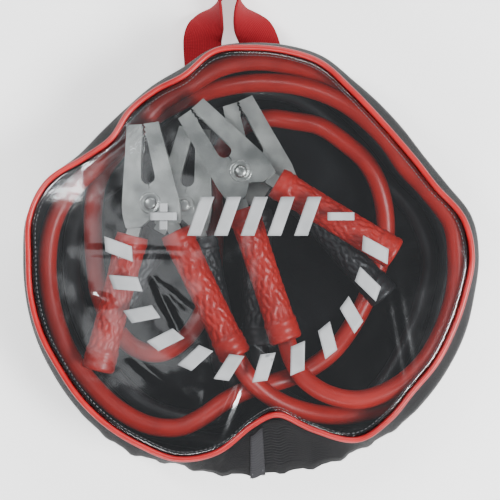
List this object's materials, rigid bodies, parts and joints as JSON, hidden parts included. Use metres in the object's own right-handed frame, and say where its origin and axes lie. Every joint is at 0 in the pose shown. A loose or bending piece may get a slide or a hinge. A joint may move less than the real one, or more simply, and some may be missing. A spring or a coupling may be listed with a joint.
{
  "type": "booster cable set in a carry bag",
  "caption": "Booster leads with spring clamps, coiled in a round carry bag with a clear front, red piping and a strap.",
  "frame": {"origin": "middle of the back panel's underside, on the floor", "axes": "+Z out of the clear front, +Y towards the carry strap, +X to the right seen from the front"},
  "size_m": [0.2842, 0.3096, 0.0651],
  "materials": {
    "black_cloth": "matt black coated cloth",
    "clear_sheet": "clear soft sheet, wrinkled and glossy",
    "red_piping": "satin red piping",
    "red_webbing": "ribbed red webbing",
    "red_rubber": "satin red insulation",
    "black_rubber": "satin black insulation",
    "zinc_plate": "zinc plated pressed sheet",
    "spring_steel": "bright spring wire"
  },
  "bodies": {
    "root": {"back_panel": "black_cloth", "side_wall": "black_cloth", "front_piping": "red_piping", "clear_front": "clear_sheet", "carry_strap": "red_webbing", "red_lead": "red_rubber", "black_lead": "black_rubber", "red_left_fixed_jaw": "zinc_plate", "red_left_fixed_grip": "red_rubber", "red_left_rivet": "zinc_plate", "red_left_spring": "spring_steel", "red_right_fixed_jaw": "zinc_plate", "red_right_fixed_grip": "red_rubber", "red_right_rivet": "zinc_plate", "red_right_spring": "spring_steel", "black_left_fixed_jaw": "zinc_plate", "black_left_fixed_grip": "black_rubber", "black_left_rivet": "zinc_plate", "black_left_spring": "spring_steel", "black_right_fixed_jaw": "zinc_plate", "black_right_fixed_grip": "black_rubber", "black_right_rivet": "zinc_plate", "black_right_spring": "spring_steel"},
    "red_left_half": {"red_left_moving_jaw": "zinc_plate", "red_left_moving_grip": "red_rubber"},
    "red_right_half": {"red_right_moving_jaw": "zinc_plate", "red_right_moving_grip": "red_rubber"},
    "black_left_half": {"black_left_moving_jaw": "zinc_plate", "black_left_moving_grip": "black_rubber"},
    "black_right_half": {"black_right_moving_jaw": "zinc_plate", "black_right_moving_grip": "black_rubber"}
  },
  "joints": [
    {"name": "red_left_pivot", "type": "hinge", "parent": "root", "child": "red_left_half", "pos_m": [-0.0626, 0.0329, 0.0485], "axis": [0, 0, 1], "range_deg": [0, 9], "stiffness_Nm_per_rad": 2, "springref_deg": -17.19},
    {"name": "red_right_pivot", "type": "hinge", "parent": "root", "child": "red_right_half", "pos_m": [-0.0064, 0.0527, 0.0485], "axis": [0, 0, -1], "range_deg": [0, 18], "stiffness_Nm_per_rad": 2, "springref_deg": -17.19},
    {"name": "black_left_pivot", "type": "hinge", "parent": "root", "child": "black_left_half", "pos_m": [-0.0428, 0.0322, 0.026], "axis": [0, 0, 1], "range_deg": [0, 18], "stiffness_Nm_per_rad": 2, "springref_deg": -17.19},
    {"name": "black_right_pivot", "type": "hinge", "parent": "root", "child": "black_right_half", "pos_m": [0.0093, 0.0521, 0.026], "axis": [0, 0, -1], "range_deg": [0, 18], "stiffness_Nm_per_rad": 2, "springref_deg": -17.19}
  ]
}
